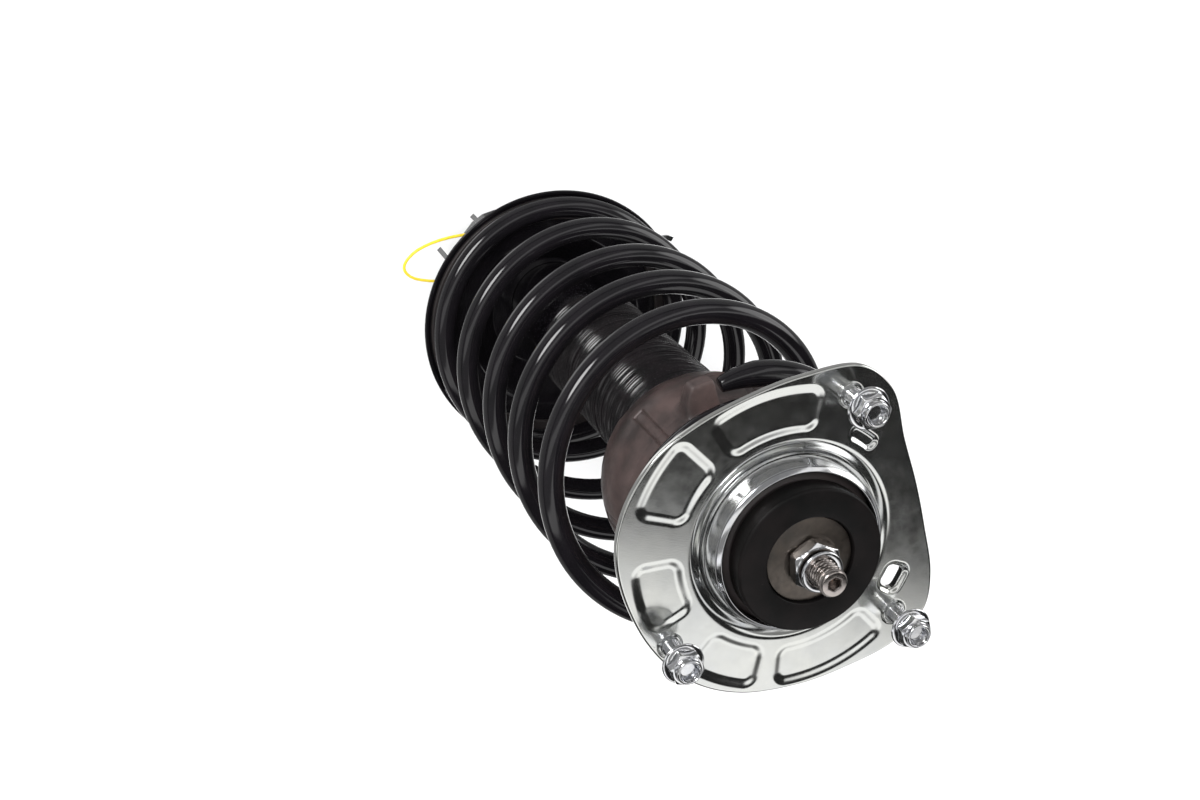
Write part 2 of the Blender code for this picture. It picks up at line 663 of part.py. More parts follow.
def build_knuckle_bracket():
    """Sheet wrapped round the tube, with two ears that take the steering knuckle."""
    inner_r = TUBE_R + GAP
    outer_r = inner_r + SHEET
    outer_half = CLEVIS_HALF_GAP + SHEET
    outer_angle = math.degrees(math.asin(outer_half / outer_r))
    inner_angle = math.degrees(math.asin(CLEVIS_HALF_GAP / inner_r))
    outline = [Vector((CLEVIS_REACH, outer_half))]
    outline += arc(outer_r, outer_angle, 360.0 - outer_angle, 16)
    outline += [Vector((CLEVIS_REACH, -outer_half)), Vector((CLEVIS_REACH, -CLEVIS_HALF_GAP))]
    outline += arc(inner_r, 360.0 - inner_angle, inner_angle, 26)
    outline += [Vector((CLEVIS_REACH, CLEVIS_HALF_GAP))]
    bracket = flat_piece("knuckle_bracket", "strut_tube", "gloss_black", [outline],
                         CLEVIS_TOP, CLEVIS_END, CLEVIS_ANGLE)
    middle = polar(CLEVIS_BOLT_REACH, CLEVIS_ANGLE)
    across = polar(40.0, CLEVIS_ANGLE + SIDE_STEP)
    for i, level in enumerate(CLEVIS_BOLT_LEVELS):
        drill = tool_rod(f"knuckle_bolt_{i}", CLEVIS_BOLT_R, (*(middle - across), level),
                         (*(middle + across), level), 20)
        combine(bracket, drill, "DIFFERENCE")


def build_link_bracket():
    """Two ears and a web on the side of the tube, for the anti-roll bar's link."""
    low, high = LINK_SIDES
    bore = TUBE_R + GAP
    corners = [
        (Vector((LINK_REACH, high)), 0.0), (Vector((12.0, high)), 3.0),
        (Vector((math.sqrt(bore ** 2 - 22.0 ** 2), 22.0)), 0.0)]
    corners += [(point, 0.0) for point in arc(bore, 60.4, -6.0, 8)]
    corners += [
        (Vector((31.0, low)), 0.0), (Vector((LINK_REACH, low)), 0.0),
        (Vector((LINK_REACH, low + SHEET)), 0.0), (Vector((29.0, low + SHEET)), 3.0),
        (Vector((20.0, high - SHEET)), 3.0), (Vector((LINK_REACH, high - SHEET)), 0.0)]
    outline = rounded(corners)
    bracket = flat_piece("link_bracket", "strut_tube", "gloss_black", [outline],
                         LINK_TOP, LINK_END, SPRING_SIDE)
    reach, level = LINK_HOLE
    drill = tool_rod("link_hole", LINK_HOLE_R, (*side_point(reach, low - 8.0), level),
                     (*side_point(reach, high + 8.0), level), 16)
    combine(bracket, drill, "DIFFERENCE")


def build_hose_bracket():
    """Flat arm with an open eye that holds the brake hose."""
    eye = Vector((HOSE_REACH, 0.0))
    join = math.degrees(math.asin(HOSE_ARM_HALF / HOSE_EYE_R))
    outline = [Vector((TUBE_R + 0.6, HOSE_ARM_HALF)), Vector((TUBE_R + 0.6, -HOSE_ARM_HALF))]
    outline += arc(HOSE_EYE_R, 180.0 + join, 320.0, 8, eye)
    outline += arc(HOSE_SLOT_R, 320.0, 40.0, 14, eye)
    outline += arc(HOSE_EYE_R, 40.0, 180.0 - join, 8, eye)
    flat_piece("hose_bracket", "strut_tube", "bright_zinc", [outline],
               HOSE_LEVEL, HOSE_LEVEL - HOSE_SHEET, HOSE_ANGLE)


def build_seal_tie():
    points = []
    for along_a, along_b, height in TIE_ROUTE:
        flat = side_point(along_a, along_b)
        points.append(Vector((flat.x, flat.y, height)))
    loop = smooth_loop(points, TIE_SAMPLES)
    finish_object("seal_tie", wire_curve("seal_tie", loop, TIE_R, cyclic=True), "strut_tube",
                  "yellow_tie")


clear_scene()
PART = new_collection("strut_assembly")
CUTTERS = new_collection("cutters")
MATERIALS = {}
BODIES = {}
for body_name in ("top_mount", "bearing_balls", "upper_seat", "strut_tube"):
    empty = bpy.data.objects.new(body_name + "_axis", None)
    PART.objects.link(empty)
    BODIES[body_name] = empty

build_mount_plate()
build_bush()
build_studs()
build_rod()
build_bump_stop()
build_bearing()
build_upper_seat()
build_boot()
build_spring()
build_damper()
build_lower_seat()
build_knuckle_bracket()
build_link_bracket()
build_hose_bracket()
build_seal_tie()
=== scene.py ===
"""Strut assembly: the detailed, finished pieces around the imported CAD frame.

Helpers take millimetres and degrees in the row frame, and make meshes in metres.
"""
import math

import bmesh
import bpy
import numpy as np
from mathutils import Matrix, Vector


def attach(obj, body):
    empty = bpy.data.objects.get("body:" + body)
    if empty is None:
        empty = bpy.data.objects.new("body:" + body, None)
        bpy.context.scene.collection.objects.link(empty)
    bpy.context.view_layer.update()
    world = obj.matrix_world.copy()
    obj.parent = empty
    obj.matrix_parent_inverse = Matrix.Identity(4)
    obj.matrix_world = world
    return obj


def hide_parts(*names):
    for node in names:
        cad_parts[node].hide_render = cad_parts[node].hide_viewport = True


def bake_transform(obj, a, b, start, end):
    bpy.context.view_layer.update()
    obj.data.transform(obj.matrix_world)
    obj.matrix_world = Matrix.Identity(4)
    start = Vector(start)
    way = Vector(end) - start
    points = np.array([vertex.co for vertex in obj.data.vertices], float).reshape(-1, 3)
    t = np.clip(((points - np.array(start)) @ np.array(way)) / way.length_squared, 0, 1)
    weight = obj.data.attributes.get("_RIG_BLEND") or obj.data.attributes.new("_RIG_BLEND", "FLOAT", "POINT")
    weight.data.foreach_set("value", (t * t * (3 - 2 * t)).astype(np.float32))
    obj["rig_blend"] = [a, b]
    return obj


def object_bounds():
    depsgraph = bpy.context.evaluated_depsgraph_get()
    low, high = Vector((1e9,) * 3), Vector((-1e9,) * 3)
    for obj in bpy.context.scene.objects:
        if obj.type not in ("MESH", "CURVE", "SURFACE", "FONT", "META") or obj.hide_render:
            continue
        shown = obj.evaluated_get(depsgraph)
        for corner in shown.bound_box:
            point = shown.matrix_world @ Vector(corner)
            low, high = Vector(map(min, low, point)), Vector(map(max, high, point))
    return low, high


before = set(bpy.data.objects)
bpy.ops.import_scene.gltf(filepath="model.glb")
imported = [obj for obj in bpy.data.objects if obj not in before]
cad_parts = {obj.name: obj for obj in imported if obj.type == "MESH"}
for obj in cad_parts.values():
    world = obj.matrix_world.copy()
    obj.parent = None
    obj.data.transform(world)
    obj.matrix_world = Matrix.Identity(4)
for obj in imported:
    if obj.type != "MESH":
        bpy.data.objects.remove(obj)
CAD_LOW, CAD_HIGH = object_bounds()

MM = 0.001
TAU = 2.0 * math.pi
SPRING_AXIS = (-6.2, 2.1)                   # the rod axis is at (0, 0)
PAN_AXIS = (-11.7, -7.4)
# Each stud's distance from the rod axis, its direction, and a corner of its nut's hexagon.
STUDS = [(65.0, 0.0, 56.0), (65.0, -109.0, 31.0), (65.0, 147.5, 43.0)]


# ---------------------------------------------------------------- materials
def node(tree, kind, **values):
    """A shader node; each value sets its property or, failing that, its input."""
    made = tree.nodes.new(kind)
    for key, value in values.items():
        if hasattr(made, key):
            setattr(made, key, value)
        else:
            made.inputs[key].default_value = value
    return made


def noise(tree, coords, scale, detail=3.0, rough=0.5):
    made = node(tree, "ShaderNodeTexNoise", Scale=scale, Detail=detail, Roughness=rough)
    tree.links.new(coords, made.inputs["Vector"])
    return made.outputs["Fac"]


def spread(tree, value, low, high, to_low, to_high):
    """Carry the range low to high over to another range."""
    made = node(tree, "ShaderNodeMapRange", **{"From Min": low, "From Max": high,
                                               "To Min": to_low, "To Max": to_high})
    tree.links.new(value, made.inputs["Value"])
    return made.outputs["Result"]


def mix(tree, share, first, second):
    """Blend two colours; each argument is a plain value or a socket."""
    made = node(tree, "ShaderNodeMix", data_type="RGBA")
    for socket, value in ((made.inputs[0], share), (made.inputs[6], first),
                          (made.inputs[7], second)):
        if isinstance(value, tuple):
            socket.default_value = (*value, 1.0)
        elif isinstance(value, float):
            socket.default_value = value
        else:
            tree.links.new(value, socket)
    return made.outputs[2]


def finish(name, colour, tint, metallic, rough, tint_scale=45.0, grain=(900.0, 0.25, 0.02),
           wave=(60.0, 0.0), speck=None, coat=0.0, stretch=(1.0, 1.0, 1.0), specular=0.5,
           coat_rough=0.05):
    """A procedural finish: two mottled colours, varied gloss, fine grain and slow waves."""
    material = bpy.data.materials.new(name)
    material.use_nodes = True
    tree = material.node_tree
    shader = tree.nodes["Principled BSDF"]
    coords = node(tree, "ShaderNodeTexCoord").outputs["Object"]
    mapping = node(tree, "ShaderNodeMapping")
    mapping.inputs["Scale"].default_value = stretch
    tree.links.new(coords, mapping.inputs["Vector"])
    along = mapping.outputs["Vector"]
    mottle = spread(tree, noise(tree, coords, tint_scale, 4.0, 0.6), 0.35, 0.65, 0.0, 1.0)
    base = mix(tree, mottle, colour, tint)
    gloss = spread(tree, noise(tree, along, tint_scale * 5.0, 5.0, 0.65), 0.3, 0.7, *rough)
    if speck:
        amount, speck_colour, speck_scale = speck
        spots = spread(tree, noise(tree, coords, speck_scale, 2.0, 0.5),
                       1.0 - amount, 1.0 - amount * 0.6, 0.0, 1.0)
        base = mix(tree, spots, base, speck_colour)
    tree.links.new(base, shader.inputs["Base Color"])
    tree.links.new(gloss, shader.inputs["Roughness"])
    shader.inputs["Metallic"].default_value = metallic
    shader.inputs["Coat Weight"].default_value = coat
    shader.inputs["Coat Roughness"].default_value = coat_rough
    shader.inputs["Specular IOR Level"].default_value = specular
    grain_scale, grain_strength, grain_height = grain
    fine = node(tree, "ShaderNodeBump", Strength=grain_strength, Distance=grain_height * MM)
    tree.links.new(noise(tree, along, grain_scale, 3.0, 0.55), fine.inputs["Height"])
    wave_scale, wave_height = wave
    if wave_height > 0.0:
        slow = node(tree, "ShaderNodeBump", Strength=1.0, Distance=wave_height * MM)
        tree.links.new(noise(tree, coords, wave_scale, 2.0, 0.4), slow.inputs["Height"])
        tree.links.new(fine.outputs["Normal"], slow.inputs["Normal"])
        fine = slow
    tree.links.new(fine.outputs["Normal"], shader.inputs["Normal"])
    if coat > 0.0:
        tree.links.new(fine.outputs["Normal"], shader.inputs["Coat Normal"])
    return material


FINISH = {
    "zinc_plate": finish("zinc_plate_rolled", (0.74, 0.745, 0.71), (0.69, 0.70, 0.69), 1.0,
                         (0.10, 0.16), 28.0, (1400.0, 0.22, 0.02), (38.0, 0.022),
                         (0.27, (0.86, 0.84, 0.78), 620.0)),
    "bright_zinc": finish("bright_zinc_plated", (0.80, 0.80, 0.80), (0.70, 0.71, 0.74), 1.0,
                          (0.08, 0.18), 160.0, (2200.0, 0.20, 0.02), (160.0, 0.03)),
    "satin_black": finish("satin_black_coat", (0.003, 0.003, 0.003), (0.006, 0.005, 0.005), 0.0,
                          (0.28, 0.40), 60.0, (1300.0, 0.35, 0.02), (90.0, 0.02),
                          (0.24, (0.05, 0.045, 0.04), 900.0), specular=0.12),
    "dark_washer": finish("phosphated_washer", (0.17, 0.145, 0.125), (0.11, 0.10, 0.09), 1.0,
                          (0.30, 0.45), 90.0, (1800.0, 0.30, 0.02)),
    "rod_steel": finish("rod_steel_ground", (0.55, 0.50, 0.47), (0.46, 0.42, 0.40), 1.0,
                        (0.14, 0.26), 120.0, (1600.0, 0.20, 0.01)),
    "rubber": finish("moulded_rubber", (0.085, 0.058, 0.054), (0.032, 0.024, 0.023), 0.0,
                     (0.28, 0.46), 55.0, (1500.0, 0.45, 0.05), (120.0, 0.12),
                     (0.27, (0.13, 0.10, 0.095), 420.0)),
    "dark_rubber": finish("hard_black_rubber", (0.014, 0.012, 0.012), (0.022, 0.018, 0.018), 0.0,
                          (0.38, 0.55), 70.0, (1500.0, 0.40, 0.04)),
    "gloss_black": finish("gloss_black_paint", (0.0045, 0.0042, 0.0050), (0.0070, 0.0060, 0.0075),
                          0.0, (0.06, 0.13), 70.0, (700.0, 0.15, 0.015), (140.0, 0.010),
                          (0.22, (0.045, 0.042, 0.045), 1100.0), coat=0.35, specular=0.4),
    "boot_black": finish("bellows_rubber", (0.004, 0.0035, 0.004), (0.008, 0.006, 0.007), 0.0,
                         (0.10, 0.20), 80.0, (1700.0, 0.30, 0.02), (220.0, 0.03),
                         specular=0.55),
    "bump_foam": finish("bump_stop_foam", (0.62, 0.50, 0.28), (0.52, 0.40, 0.20), 0.0,
                        (0.70, 0.88), 140.0, (2600.0, 0.80, 0.10)),
    "black_plastic": finish("bearing_plastic", (0.018, 0.018, 0.019), (0.026, 0.026, 0.026), 0.0,
                            (0.36, 0.50), 120.0, (2000.0, 0.35, 0.02)),
    "ball_steel": finish("ball_steel", (0.62, 0.62, 0.63), (0.55, 0.55, 0.56), 1.0,
                         (0.08, 0.16), 200.0, (2500.0, 0.10, 0.01)),
    "sintered": finish("sintered_steel", (0.32, 0.31, 0.30), (0.24, 0.23, 0.22), 1.0,
                       (0.42, 0.58), 200.0, (2600.0, 0.70, 0.04)),
    "ptfe": finish("guide_liner", (0.10, 0.085, 0.06), (0.07, 0.06, 0.045), 0.0,
                   (0.42, 0.55), 200.0, (2400.0, 0.30, 0.02)),
    "yellow_tie": finish("yellow_tie_plastic", (0.92, 0.70, 0.05), (0.80, 0.60, 0.03), 0.0,
                         (0.28, 0.42), 300.0, (2000.0, 0.25, 0.02)),
    "lock_ring": finish("lock_ring_nylon", (0.55, 0.44, 0.33), (0.45, 0.36, 0.27), 0.0,
                        (0.30, 0.45), 300.0, (2000.0, 0.25, 0.02)),
    "weld": finish("painted_weld", (0.006, 0.006, 0.0065), (0.012, 0.011, 0.012), 0.0,
                   (0.12, 0.30), 260.0, (900.0, 0.5, 0.06), (300.0, 0.12), coat=0.4),
}


# ---------------------------------------------------------------- mesh helpers
def smooth(value):
    """0 to 1 with level ends, as value goes from 0 to 1."""
    t = np.clip(value, 0.0, 1.0)
    return t * t * (3.0 - 2.0 * t)


def unit(angle):
    """Direction across the axis, from an angle in degrees."""
    turn = math.radians(angle)
    return np.array([math.cos(turn), math.sin(turn)])


def shade(mesh, sharp=38.0):
    mesh.polygons.foreach_set("use_smooth", [True] * len(mesh.polygons))
    mesh.set_sharp_from_angle(angle=math.radians(sharp))
    return mesh


def tidy(mesh):
    """Merge coincident points, drop empty faces and turn all faces outwards."""
    shape = bmesh.new()
    shape.from_mesh(mesh)
    bmesh.ops.remove_doubles(shape, verts=shape.verts, dist=2e-7)
    bmesh.ops.recalc_face_normals(shape, faces=shape.faces)
    shape.to_mesh(mesh)
    shape.free()
    return mesh


def quads(index, wrap):
    """Corners of the quads between each row of point numbers and the next."""
    first = index if wrap else index[:-1]
    second = np.roll(index, -1, 0) if wrap else index[1:]
    return np.stack([first, second, np.roll(second, -1, 1), np.roll(first, -1, 1)], -1)


def skin(name, rows, wrap=False, sharp=38.0):
    """Quads over rows of points, each row a closed loop. The rows wrap round or end in caps."""
    rows = np.asarray(rows, float) * MM
    count, sides = rows.shape[:2]
    index = np.arange(count * sides).reshape(count, sides)
    faces = quads(index, wrap).reshape(-1, 4).tolist()
    if not wrap:
        faces += [index[0].tolist(), index[-1][::-1].tolist()]
    mesh = bpy.data.meshes.new(name)
    mesh.from_pydata(rows.reshape(-1, 3).tolist(), [], faces)
    return shade(tidy(mesh), sharp)


def place(name, mesh, body, look, nodes=()):
    """Show a mesh as a piece on a CAD body, standing for the CAD nodes it details."""
    piece = bpy.data.objects.new(name, mesh)
    bpy.context.scene.collection.objects.link(piece)
    mesh.materials.append(FINISH[look])
    if nodes:
        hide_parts(*nodes)
    if body:
        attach(piece, body)
    return piece


def set_follow(piece, shares):
    """How far each point follows the second body of its blend, 0 to 1."""
    layer = piece.data.attributes["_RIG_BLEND"]
    layer.data.foreach_set("value", np.clip(shares, 0.0, 1.0).astype(np.float32))


def filleted(corners, steps=5, closed=True):
    """Round a chain of (radius, height, fillet) corners and return (radius, height) points."""
    points = [np.array(c[:2], float) for c in corners]
    made = []
    for i, corner in enumerate(corners):
        radius = corner[2] if len(corner) > 2 else 0.0
        if radius <= 0.0 or (not closed and i in (0, len(corners) - 1)):
            made.append(points[i])
            continue
        back = points[i - 1] - points[i]
        ahead = points[(i + 1) % len(points)] - points[i]
        long_back, long_ahead = np.linalg.norm(back), np.linalg.norm(ahead)
        back, ahead = back / long_back, ahead / long_ahead
        half = math.acos(max(-1.0, min(1.0, float(back @ ahead)))) / 2.0
        reach = min(radius / math.tan(half), 0.48 * long_back, 0.48 * long_ahead)
        radius = reach * math.tan(half)
        if radius < 1e-4 or half > 1.56:
            made.append(points[i])
            continue
        middle = (back + ahead) / np.linalg.norm(back + ahead)
        centre = points[i] + middle * radius / math.sin(half)
        start, end = points[i] + back * reach - centre, points[i] + ahead * reach - centre
        for step in range(steps + 1):
            arm = start + (end - start) * step / steps
            made.append(centre + arm / np.linalg.norm(arm) * radius)
    return made


def turned_rows(points, centre=(0.0, 0.0), sides=144):
    """Rows for a turned shape. A point's radius is a number or one number per side."""
    turns = np.arange(sides) / sides * TAU
    rows = []
    for radius, height in points:
        rows.append(np.stack([centre[0] + radius * np.cos(turns),
                              centre[1] + radius * np.sin(turns),
                              np.full(sides, float(height))], -1))
    return rows


def lathe(name, corners, centre=(0.0, 0.0), sides=144):
    """Turned mesh: a ring, or a solid where the section reaches the axis."""
    hollow = min(c[0] for c in corners) > 0.0
    rows = turned_rows(filleted(corners, closed=hollow), centre, sides)
    return skin(name, rows, wrap=hollow)


def hexagon(angles, across_flats, corner_angle):
    """Distance to a hexagon's side in each direction (radians)."""
    sixth = np.mod(np.degrees(angles) - corner_angle, 60.0) - 30.0
    return across_flats / 2.0 / np.cos(np.radians(sixth))


def thread(angles, height, major, pitch, share=1.0):
    """Radius of a right-hand thread at one height."""
    phase = np.mod(height / pitch - angles / TAU, 1.0)
    flank = np.clip((np.abs(2.0 * phase - 1.0) - 0.14) / 0.56, 0.0, 1.0)
    return major - 0.60 * pitch * share * smooth(flank)


# ---------------------------------------------------------------- mount plate
PLATE_OUTLINE = [
    (1, 78.0), (-14, 74.0), (-31, 62.5), (-52, 59.0), (-72, 62.0), (-90, 71.5),
    (-103, 78.0), (-117, 76.5), (-133, 71.5), (-153, 69.5), (-176, 71.0), (163, 72.0),
    (140, 72.0), (115, 74.5), (96, 76.5), (76, 75.0), (58, 71.0), (38, 69.0), (20, 71.5)]
# Sectors of the plate: inner and outer radius, first and last direction.
POCKETS = [
    (49.0, 66.0, 11.5, 54.0), (49.5, 70.0, 65.0, 93.0), (49.0, 67.5, 112.5, 139.0),
    (49.0, 66.5, 160.0, 188.0), (50.0, 66.0, 197.5, 243.0)]
BEAN_POCKET = (48.5, 54.0, -22.0, -8.0)
BEAN_CORNER, BEAN_DEPTH, BEAN_FLANK = 2.4, 1.3, 2.6
WINDOW = (50.5, 58.5, -102.0, -91.0)
WINDOW_CORNER, WINDOW_DEPTH, WINDOW_FLANK = 2.6, 1.5, 2.6
SNAP = 0.42                                 # a point this near the window moves to its edge
WALL_REACH = 4.0                            # no cell further from the window bounds it
PLATE_BORE = 39.2
PLATE_THICK = 3.0
PLATE_EDGE = 0.9
POCKET_DEPTH = 0.85
POCKET_CORNER = 4.5
FLANK = 4.6
LIP_START = 45.5
LIP_DROP = 2.4
STUD_SEAT_R, STUD_SEAT_DEPTH = 5.6, 1.0


def sector_distance(x, y, sector, corner):
    """Signed distance to a ring sector with rounded corners, negative inside."""
    inner, outer, first, last = sector
    radius = np.hypot(x, y)
    angle = np.degrees(np.arctan2(y, x))
    across = np.abs(radius - (inner + outer) / 2.0) - (outer - inner) / 2.0 + corner
    turn = np.mod(angle - (first + last) / 2.0 + 180.0, 360.0) - 180.0
    along = np.radians(np.abs(turn) - (last - first) / 2.0) * radius + corner
    outside = np.hypot(np.maximum(across, 0.0), np.maximum(along, 0.0))
    return outside + np.minimum(np.maximum(across, along), 0.0) - corner


def plate_height(x, y):
    """Height of the pressed plate's upper face: sunk pockets, drawn bore, coined stud seats."""
    radius = np.hypot(x, y)
    height = -LIP_DROP * smooth((LIP_START - radius) / (LIP_START - PLATE_BORE)) ** 1.4
    for pocket in POCKETS:
        gap = sector_distance(x, y, pocket, POCKET_CORNER)
        height = height - POCKET_DEPTH * smooth(0.5 - gap / FLANK)
    gap = sector_distance(x, y, BEAN_POCKET, BEAN_CORNER)
    height = height - BEAN_DEPTH * smooth(0.5 - gap / BEAN_FLANK)
    gap = sector_distance(x, y, WINDOW, WINDOW_CORNER)
    height = height - WINDOW_DEPTH * smooth(1.0 - gap / WINDOW_FLANK)
    for distance, angle, _ in STUDS:
        spot = distance * unit(angle)
        away = np.hypot(x - spot[0], y - spot[1])
        height = height - STUD_SEAT_DEPTH * smooth(STUD_SEAT_R - away)
    return height


def outline_radius(angles):
    """Radius of the plate's edge in each direction (radians), on a curve through its points."""
    knots = [radius * unit(angle) for angle, radius in PLATE_OUTLINE]
    count = len(knots)
    loop = []
    for i in range(count):
        p0, p1, p2, p3 = (knots[(i + k - 1) % count] for k in range(4))
        for t in np.arange(24) / 24.0:
            loop.append(0.5 * (2 * p1 + (p2 - p0) * t + (2 * p0 - 5 * p1 + 4 * p2 - p3) * t ** 2
                               + (3 * p1 - p0 - 3 * p2 + p3) * t ** 3))
    loop = np.array(loop)
    return np.interp(angles, *sorted_turns(loop), period=TAU)


def sorted_turns(loop):
    """Directions of a loop's points in rising order, and their distances from the axis."""
    turns = np.mod(np.arctan2(loop[:, 1], loop[:, 0]), TAU)
    order = np.argsort(turns)
    return turns[order], np.hypot(loop[:, 0], loop[:, 1])[order]


def rounded_edge(ray, limit, outward, edge, face, steps):
    """Rows round an edge of the plate: outward is 1 at the rim and -1 at the bore, and
    face is 1 for the upper face and -1 for the lower. limit is the edge's radius."""
    angles = np.linspace(0.0, 90.0, steps + 1)[1:]
    if face != outward:
        angles = angles[::-1]
    rows = []
    for angle in angles:
        turn = math.radians(angle)
        reach = limit - outward * PLATE_EDGE * (1.0 - math.sin(turn))
        drop = face * PLATE_EDGE * (1.0 - math.cos(turn))
        rows.append(np.concatenate([reach[:, None] * ray, (edge[:, 2] - drop)[:, None]], -1))
    return rows


def snapped(spots):
    """Each point's distance to the window, and the points with the near ones on its edge."""
    step = 0.01
    x, y = spots[..., 0], spots[..., 1]
    gap = sector_distance(x, y, WINDOW, WINDOW_CORNER)
    slope = np.stack([sector_distance(x + step, y, WINDOW, WINDOW_CORNER) - gap,
                      sector_distance(x, y + step, WINDOW, WINDOW_CORNER) - gap], -1) / step
    near = (np.abs(gap) < SNAP)[..., None]
    return gap, np.where(near, spots - slope * gap[..., None], spots)


def window_walls(solid, middle, top_id, low_id):
    """Quads from the upper to the lower face along every cell side that borders the window."""
    sides = solid.shape[1]
    walls = []
    for i, j in zip(*np.nonzero(solid & (middle <= WALL_REACH))):
        k = (j + 1) % sides
        cell_sides = (((i - 1, j), (i, j), (i, k)), ((i + 1, j), (i + 1, k), (i + 1, j)),
                      ((i, j - 1), (i + 1, j), (i, j)), ((i, k), (i, k), (i + 1, k)))
        for (row, column), start, end in cell_sides:
            if 0 <= row < len(solid) and not solid[row, column % sides]:
                walls.append([int(top_id[start]), int(top_id[end]),
                              int(low_id[end]), int(low_id[start])])
    return walls


def build_plate(sides=900, across=92, arc_steps=5):
    """Pressed plate: upper face, rim, lower face and bore as rows, with one cut window."""
    turns = np.arange(sides) / sides * TAU
    ray = np.stack([np.cos(turns), np.sin(turns)], -1)
    outer = outline_radius(turns)
    bore = np.full(sides, PLATE_BORE)
    share = np.linspace(0.0, 1.0, across)[:, None]
    radii = (PLATE_BORE + PLATE_EDGE) * (1.0 - share) + (outer - PLATE_EDGE)[None] * share
    spots = radii[..., None] * ray
    height = plate_height(spots[..., 0], spots[..., 1])[..., None]
    gap, spots = snapped(spots)
    top = np.concatenate([spots, height], -1)
    bottom = np.concatenate([spots, height - PLATE_THICK], -1)
    rows = np.array([*top,
                     *rounded_edge(ray, outer, 1, top[-1], 1, arc_steps),
                     *rounded_edge(ray, outer, 1, bottom[-1], -1, arc_steps),
                     *bottom[::-1],
                     *rounded_edge(ray, bore, -1, bottom[0], -1, arc_steps),
                     *rounded_edge(ray, bore, -1, top[0], 1, arc_steps)])
    index = np.arange(len(rows) * sides).reshape(-1, sides)

    beside = np.roll(gap, -1, 1)
    corners = np.stack([gap[:-1], gap[1:], beside[:-1], beside[1:]])
    middle = corners.sum(0) / 4.0
    solid = (corners.min(0) > -SNAP) & (middle > 0.0)
    present = np.ones(index.shape, bool)
    present[:across - 1] = solid
    low = across + 2 * arc_steps
    present[low:low + across - 1] = solid[::-1]
    faces = quads(index, wrap=True)[present].tolist()
    faces += window_walls(solid, middle, index[:across], index[low:low + across][::-1])

    mesh = bpy.data.meshes.new("mount_plate_pressing")
    mesh.from_pydata((rows.reshape(-1, 3) * MM).tolist(), [], faces)
    shape = bmesh.new()
    shape.from_mesh(mesh)
    loose = [v for v in shape.verts if not v.link_faces]
    bmesh.ops.delete(shape, geom=loose, context="VERTS")
    bmesh.ops.recalc_face_normals(shape, faces=shape.faces)
    shape.to_mesh(mesh)
    shape.free()
    place("mount_plate_pressing", shade(mesh, 50.0), "top_mount", "zinc_plate",
          ["mount_plate"])


# ---------------------------------------------------------------- fasteners
STUD_NUT = {"base": 14.0, "across_flats": 13.0, "flange_r": 8.9, "collar_r": 5.4,
            "heights": (1.0, 6.0, 8.3), "bore": 3.75}
ROD_NUT = {"base": 18.2, "across_flats": 19.0, "flange_r": 9.4, "collar_r": 9.0,
           "heights": (0.4, 6.6, 10.6), "bore": 6.1}
# Radii of a nut over its width: full corner, eased corner, chamfered top, foot of the flats.
CORNER, EASED_CORNER, CHAMFER, FOOT = 0.577, 0.569, 0.485, 0.47
COLLAR_LIP = 0.9
MOUTH = 0.5                                 # rounding at the top of a nut's bore
M8_R, M8_PITCH = 3.95, 1.25
M12_R, M12_PITCH = 5.95, 1.75
SOCKET_WIDTH = 5.0


def build_nut(name, node_name, centre, turn, base, across_flats, flange_r, collar_r, heights,
              bore, sides=144):
    """Flanged or plain hexagon nut with chamfered corners and a rolled locking collar."""
    flange_top, shoulder, top = (base + height for height in heights)
    turns = np.arange(sides) / sides * TAU
    flats = np.minimum(hexagon(turns, across_flats, turn), across_flats * EASED_CORNER)
    corner = across_flats * CORNER
    cut = corner - across_flats * CHAMFER
    rows = [(bore, base), (flange_r - 0.4, base), (flange_r, base + 0.25)]
    if flange_r > corner:
        rim = flange_r - 0.35
        rows += [(flange_r, flange_top - 0.35), (rim, flange_top)]
        for share in np.linspace(0.0, 1.0, 9)[1:]:
            cone = rim + (across_flats * FOOT - rim) * share
            level = flange_top + 1.1 * share ** 1.6
            rows.append((np.maximum(cone, np.minimum(flats, cone + 3.0 * share)), level))
    else:
        for share in np.linspace(0.0, 1.0, 5):
            rows.append((np.minimum(flats, flange_r + (corner - flange_r) * share),
                         flange_top + 0.7 * share))
    for share in np.linspace(0.0, 1.0, 9):
        rows.append((np.minimum(flats, corner - cut * share),
                     shoulder - cut * 0.62 * (1.0 - share)))
    rows += [(collar_r + 0.25, shoulder + 0.02), (collar_r, shoulder + 0.3)]
    for angle in np.radians(np.linspace(0.0, 90.0, 6)):
        rows.append((collar_r - COLLAR_LIP + COLLAR_LIP * math.cos(angle),
                     top - COLLAR_LIP + COLLAR_LIP * math.sin(angle)))
    for angle in np.radians(np.linspace(0.0, 90.0, 4)):
        rows.append((bore + 0.35 + MOUTH * (1.0 - math.sin(angle)),
                     top - MOUTH * (1.0 - math.cos(angle))))
    rows.append((bore, top - 1.0))
    mesh = skin(name, turned_rows(rows, centre, sides), wrap=True, sharp=30.0)
    place(name, mesh, "top_mount", "bright_zinc", [node_name])


